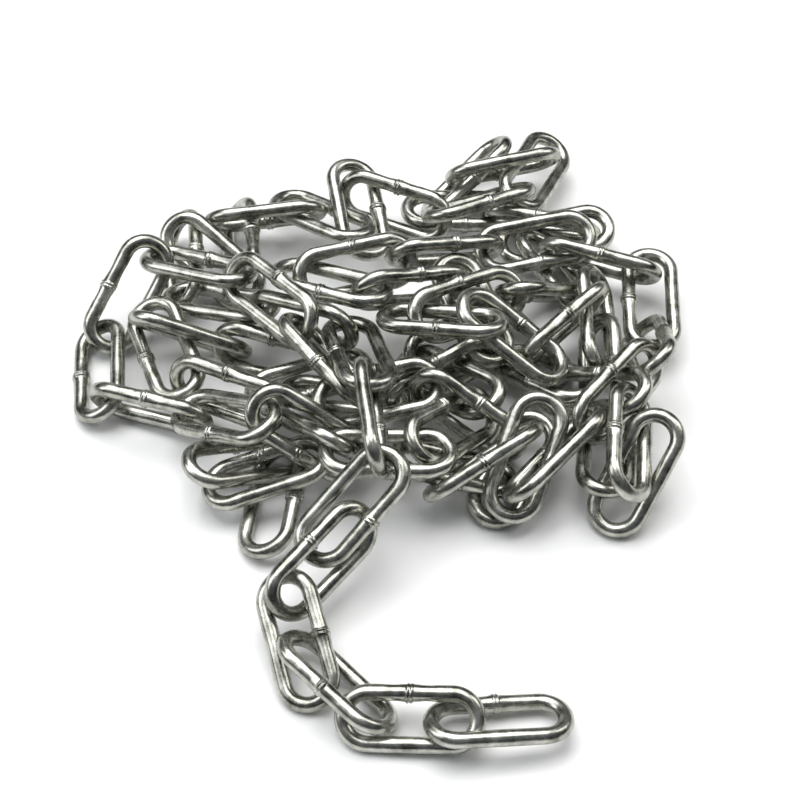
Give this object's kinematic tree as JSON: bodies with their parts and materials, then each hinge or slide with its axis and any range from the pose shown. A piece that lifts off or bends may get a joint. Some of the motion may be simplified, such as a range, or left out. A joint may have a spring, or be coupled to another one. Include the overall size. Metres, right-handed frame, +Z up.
{
  "type": "chain heap",
  "caption": "Heap of long-link welded steel chain, bright zinc plated, with one end drawn out in front of it.",
  "frame": {"origin": "middle of the heap's bounding box, on the floor it lies on", "axes": "+Z up; -Y is the front, where the free end of the chain lies and points to +X"},
  "size_m": [0.2106, 0.2594, 0.0459],
  "materials": {
    "bright_zinc": "bright zinc plate over drawn and welded steel wire, glossy with faint streaks"
  },
  "bodies": {
    "root": {"buried_links_09_12": "bright_zinc", "buried_links_15_16": "bright_zinc", "buried_links_22_25": "bright_zinc", "buried_links_32_33": "bright_zinc", "buried_links_36_39": "bright_zinc", "buried_links_41_42": "bright_zinc", "buried_links_43_44": "bright_zinc", "buried_links_47_51": "bright_zinc", "buried_links_64_65": "bright_zinc", "link_01": "bright_zinc", "link_02": "bright_zinc", "link_03": "bright_zinc", "link_04": "bright_zinc", "link_05": "bright_zinc", "link_06": "bright_zinc", "link_07": "bright_zinc", "link_08": "bright_zinc", "link_13": "bright_zinc", "link_14": "bright_zinc", "link_17": "bright_zinc", "link_18": "bright_zinc", "link_19": "bright_zinc", "link_20": "bright_zinc", "link_21": "bright_zinc", "link_26": "bright_zinc", "link_27": "bright_zinc", "link_28": "bright_zinc", "link_29": "bright_zinc", "link_30": "bright_zinc", "link_31": "bright_zinc", "link_34": "bright_zinc", "link_35": "bright_zinc", "link_40": "bright_zinc", "link_45": "bright_zinc", "link_46": "bright_zinc", "link_52": "bright_zinc", "link_53": "bright_zinc", "link_54": "bright_zinc", "link_55": "bright_zinc", "link_56": "bright_zinc", "link_57": "bright_zinc", "link_58": "bright_zinc", "link_59": "bright_zinc", "link_60": "bright_zinc", "link_61": "bright_zinc", "link_62": "bright_zinc", "link_63": "bright_zinc", "link_66": "bright_zinc", "link_67": "bright_zinc", "link_68": "bright_zinc", "link_69": "bright_zinc", "link_70": "bright_zinc", "link_71": "bright_zinc", "link_72": "bright_zinc", "link_73": "bright_zinc", "link_74": "bright_zinc", "link_75": "bright_zinc", "link_76": "bright_zinc", "link_77": "bright_zinc", "link_78": "bright_zinc"}
  },
  "joints": []
}
